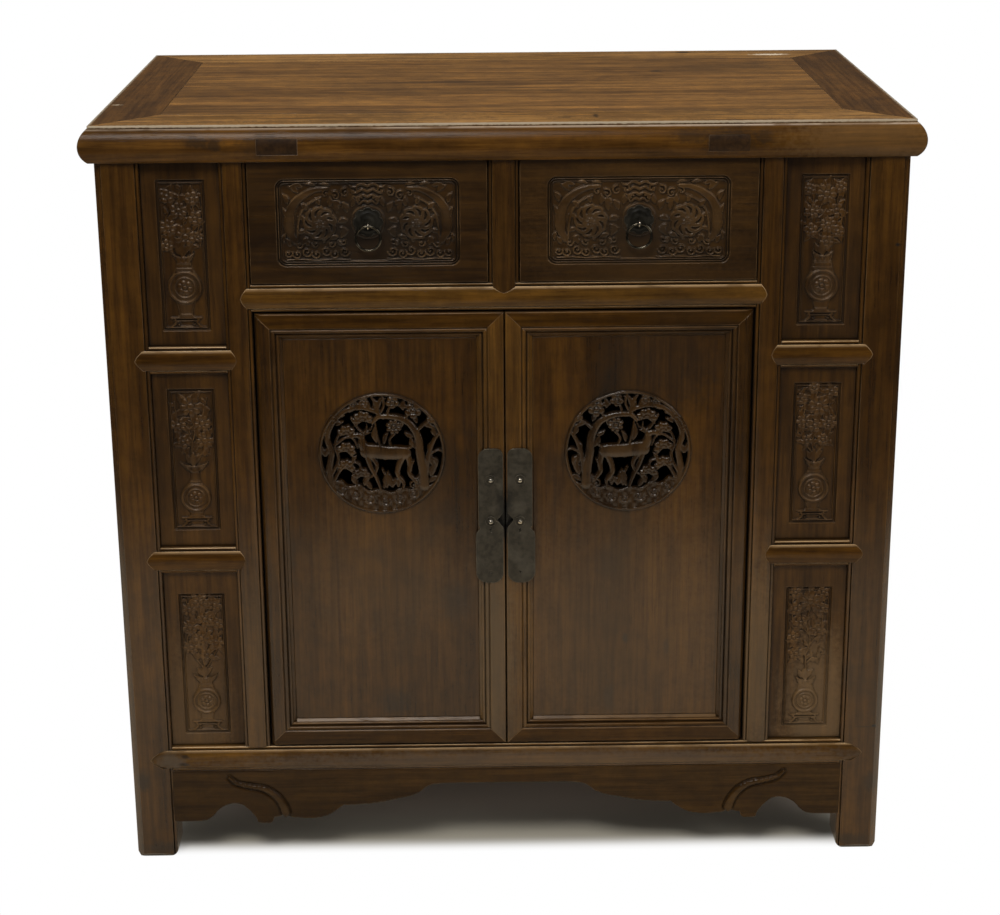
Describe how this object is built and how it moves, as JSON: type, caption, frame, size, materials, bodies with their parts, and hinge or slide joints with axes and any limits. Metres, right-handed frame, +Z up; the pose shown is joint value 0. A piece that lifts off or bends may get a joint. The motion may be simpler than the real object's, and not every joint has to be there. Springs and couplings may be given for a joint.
{
  "type": "low cabinet",
  "caption": "Low joined wooden cabinet with a framed top, drawers on ring pulls over a pair of pivoting doors, carved side panels and a shaped apron.",
  "frame": {"origin": "on the floor, under the middle of the cabinet's outline", "axes": "+X to the right as one faces the doors, +Y from the front to the back, +Z up"},
  "size_m": [1.04, 0.625, 1.01],
  "materials": {
    "frame_wood": "satin, dark brown, edges worn lighter",
    "worn_top_wood": "worn satin, lighter grey brown",
    "carved_wood": "satin, near black in the recesses",
    "panel_wood": "satin, warm brown",
    "inside_wood": "raw, matt, darkened with age",
    "patinated_brass": "olive grey patina, bright where it rubs"
  },
  "bodies": {
    "case": {"top_front_rail": "worn_top_wood", "top_back_rail": "worn_top_wood", "top_end_left": "worn_top_wood", "top_end_right": "worn_top_wood", "top_panel": "worn_top_wood", "top_battens": "frame_wood", "leg_front_left": "frame_wood", "leg_front_right": "frame_wood", "leg_back_left": "frame_wood", "leg_back_right": "frame_wood", "inner_stile_left": "frame_wood", "inner_stile_right": "frame_wood", "drawer_rail": "frame_wood", "drawer_divider": "frame_wood", "bottom_rail": "frame_wood", "short_rails_left": "frame_wood", "short_rails_right": "frame_wood", "carved_panel_left_upper": "carved_wood", "carved_panel_left_middle": "carved_wood", "carved_panel_left_lower": "carved_wood", "carved_panel_right_upper": "carved_wood", "carved_panel_right_middle": "carved_wood", "carved_panel_right_lower": "carved_wood", "front_apron": "frame_wood", "side_apron_left": "frame_wood", "side_apron_right": "frame_wood", "side_rails_left": "frame_wood", "side_rails_right": "frame_wood", "side_panels_left": "panel_wood", "side_panels_right": "panel_wood", "back_rails": "frame_wood", "back_panels": "inside_wood", "floor_board": "inside_wood", "drawer_runners": "inside_wood"},
    "left_drawer": {"drawer_front_left": "frame_wood", "drawer_box_left": "inside_wood", "drawer_bottom_left": "inside_wood", "pull_plate_left": "patinated_brass", "pull_staple_left": "patinated_brass"},
    "right_drawer": {"drawer_front_right": "frame_wood", "drawer_box_right": "inside_wood", "drawer_bottom_right": "inside_wood", "pull_plate_right": "patinated_brass", "pull_staple_right": "patinated_brass"},
    "left_pull": {"pull_ring_left": "patinated_brass"},
    "right_pull": {"pull_ring_right": "patinated_brass"},
    "left_door": {"hinge_stile_left": "frame_wood", "lock_stile_left": "frame_wood", "door_rails_left": "frame_wood", "door_panel_left": "panel_wood", "roundel_left": "carved_wood", "lock_plate_left": "patinated_brass", "lock_studs_left": "patinated_brass"},
    "right_door": {"hinge_stile_right": "frame_wood", "lock_stile_right": "frame_wood", "door_rails_right": "frame_wood", "door_panel_right": "panel_wood", "roundel_right": "carved_wood", "lock_plate_right": "patinated_brass", "lock_studs_right": "patinated_brass"}
  },
  "joints": [
    {"name": "left_drawer_slide", "type": "slide", "parent": "case", "child": "left_drawer", "axis": [0, -1, 0], "range_m": [0, 0.32]},
    {"name": "right_drawer_slide", "type": "slide", "parent": "case", "child": "right_drawer", "axis": [0, -1, 0], "range_m": [0, 0.32]},
    {"name": "left_pull_swing", "type": "hinge", "parent": "left_drawer", "child": "left_pull", "pos_m": [-0.1685, -0.3025, 0.8822], "axis": [-1, 0, 0], "range_deg": [0, 95]},
    {"name": "right_pull_swing", "type": "hinge", "parent": "right_drawer", "child": "right_pull", "pos_m": [0.1685, -0.3025, 0.8822], "axis": [-1, 0, 0], "range_deg": [0, 95]},
    {"name": "left_door_hinge", "type": "hinge", "parent": "case", "child": "left_door", "pos_m": [-0.3045, -0.2845, 0.4695], "axis": [0, 0, -1], "range_deg": [0, 90]},
    {"name": "right_door_hinge", "type": "hinge", "parent": "case", "child": "right_door", "pos_m": [0.3045, -0.2845, 0.4695], "axis": [0, 0, 1], "range_deg": [0, 90]}
  ]
}
